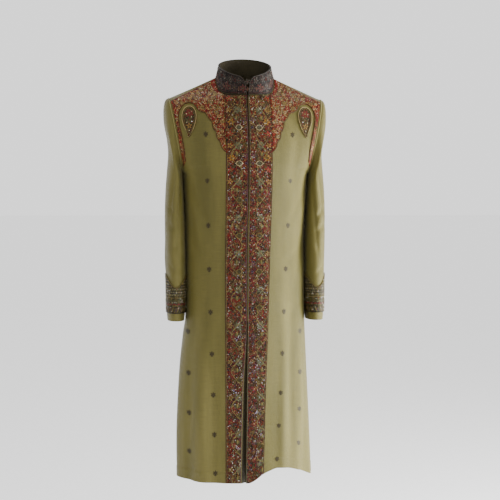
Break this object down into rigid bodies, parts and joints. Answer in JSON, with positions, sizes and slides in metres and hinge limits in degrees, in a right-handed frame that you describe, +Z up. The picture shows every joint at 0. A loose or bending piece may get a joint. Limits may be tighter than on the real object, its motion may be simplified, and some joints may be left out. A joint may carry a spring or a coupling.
{
  "type": "sherwani coat",
  "caption": "Long sherwani coat held in its worn, hollow form, with a stand collar, embroidered front bands, scalloped yoke and cuffs on plain silk.",
  "frame": {"origin": "middle of the neck opening, level with the side neck points, where the wearer's shoulders hold the coat", "axes": "+Z up along the coat, +X to the wearer's left, the front faces -Y"},
  "size_m": [0.448, 0.273, 1.1523],
  "materials": {
    "silk": "olive-gold silk with a soft sheen along its length",
    "band_embroidery": "dense rust, gold, olive and mauve thread with small sequins",
    "yoke_embroidery": "red cloth under dense gold thread and sequins",
    "collar_embroidery": "grey-brown embroidered cloth with small beads",
    "paisley_embroidery": "olive-brown thread edged with gold",
    "cuff_embroidery": "dark olive and brown thread with small beads"
  },
  "bodies": {
    "root": {"front_left": "silk", "front_right": "silk", "back_left": "silk", "back_right": "silk", "sleeve_left": "silk", "sleeve_right": "silk", "collar": "collar_embroidery", "band_left": "band_embroidery", "band_right": "band_embroidery", "yoke_left": "yoke_embroidery", "yoke_right": "yoke_embroidery", "paisley_left": "paisley_embroidery", "paisley_right": "paisley_embroidery", "cuff_left": "cuff_embroidery", "cuff_right": "cuff_embroidery"}
  },
  "joints": []
}
